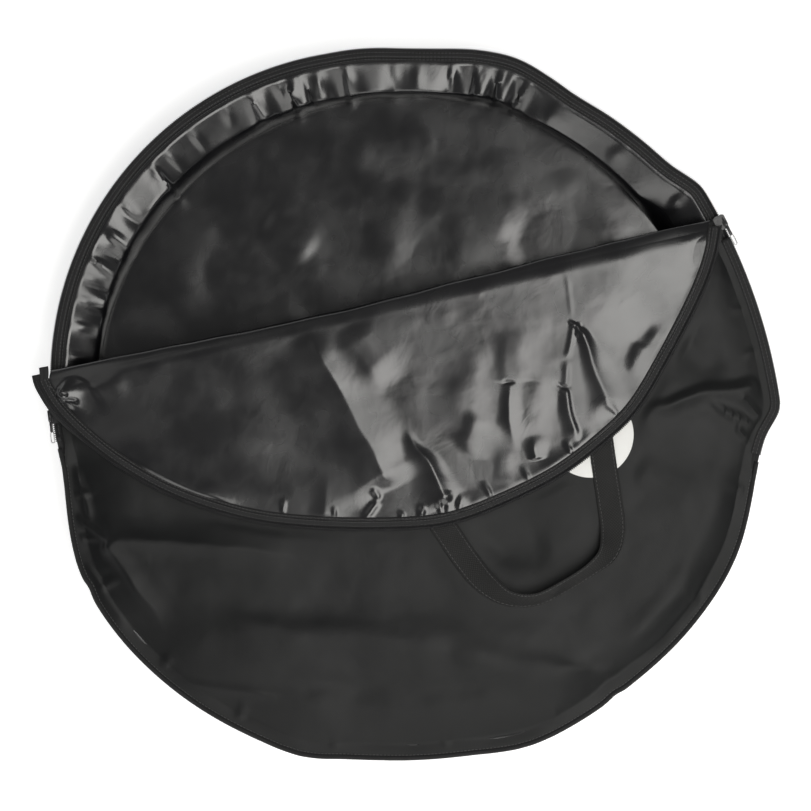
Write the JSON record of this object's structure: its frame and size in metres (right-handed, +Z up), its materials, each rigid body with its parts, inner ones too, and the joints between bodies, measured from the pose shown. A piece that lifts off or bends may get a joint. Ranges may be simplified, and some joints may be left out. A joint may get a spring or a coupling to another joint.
{
  "type": "bike wheel bag",
  "caption": "Round zipped bag for a bicycle wheel, unzipped round the top with its front flap folded down and a webbing handle loop.",
  "frame": {"origin": "under the middle of the bag, on the surface that its back panel lies on", "axes": "+X to the bag's right, +Y towards its open top, +Z up out of the back panel's outer side"},
  "size_m": [0.7456, 0.7135, 0.0811],
  "materials": {
    "coated_fabric": "black coated woven fabric, matt outer side",
    "glossy_lining": "black coated fabric, shiny inner side",
    "zip_tape": "woven black zip tape",
    "zip_coil": "black nylon zip coil",
    "seam_binding": "black woven binding tape",
    "webbing": "black woven webbing",
    "slider_metal": "dark enamelled zinc",
    "pull_metal": "plain pale metal with a dark neck",
    "badge_print": "plain white round film"
  },
  "bodies": {
    "bag": {"back_panel": "coated_fabric", "front_panel": "coated_fabric", "edge_piping": "seam_binding", "back_zip_tape": "zip_tape", "back_zip_coil": "zip_coil", "back_seam_binding": "seam_binding", "side_zip_tape": "zip_tape", "side_zip_coil": "zip_coil", "zip_stop_left": "slider_metal", "zip_stop_right": "slider_metal", "badge_disc": "badge_print"},
    "flap": {"flap_panel": "glossy_lining", "flap_zip_tape": "zip_tape", "flap_zip_coil": "zip_coil", "flap_seam_binding": "seam_binding", "handle_end_left": "webbing", "handle_end_right": "webbing"},
    "handle": {"handle_loop": "webbing"},
    "slider_left": {"slider_left": "slider_metal"},
    "pull_left": {"pull_left": "pull_metal"},
    "slider_right": {"slider_right": "slider_metal"},
    "pull_right": {"pull_right": "pull_metal"}
  },
  "joints": [
    {"name": "flap_fold", "type": "hinge", "parent": "bag", "child": "flap", "pos_m": [-0.02537, 0.11114, 0.06189], "axis": [-0.9749, -0.2226, 0], "range_deg": [0, 180]},
    {"name": "handle_swing", "type": "hinge", "parent": "flap", "child": "handle", "pos_m": [0.1232, -0.09103, 0.0607], "axis": [0.8862, 0.4633, 0], "range_deg": [-90, 0]},
    {"name": "slider_left_travel", "type": "hinge", "parent": "bag", "child": "slider_left", "pos_m": [-0.02545, 0.02646, 0.05], "axis": [0, 0, -1], "range_deg": [0, 80]},
    {"name": "slider_right_travel", "type": "hinge", "parent": "bag", "child": "slider_right", "pos_m": [-0.18771, -0.07866, 0.05], "axis": [0, 0, -1], "range_deg": [0, 13.5]},
    {"name": "pull_left_swing", "type": "hinge", "parent": "slider_left", "child": "pull_left", "pos_m": [-0.35404, -0.01156, 0.05579], "axis": [-0.9934, -0.1149, 0], "range_deg": [0, 90]},
    {"name": "pull_right_swing", "type": "hinge", "parent": "slider_right", "child": "pull_right", "pos_m": [0.31845, 0.1837, 0.05579], "axis": [-0.8878, -0.4602, 0], "range_deg": [0, 90]}
  ]
}
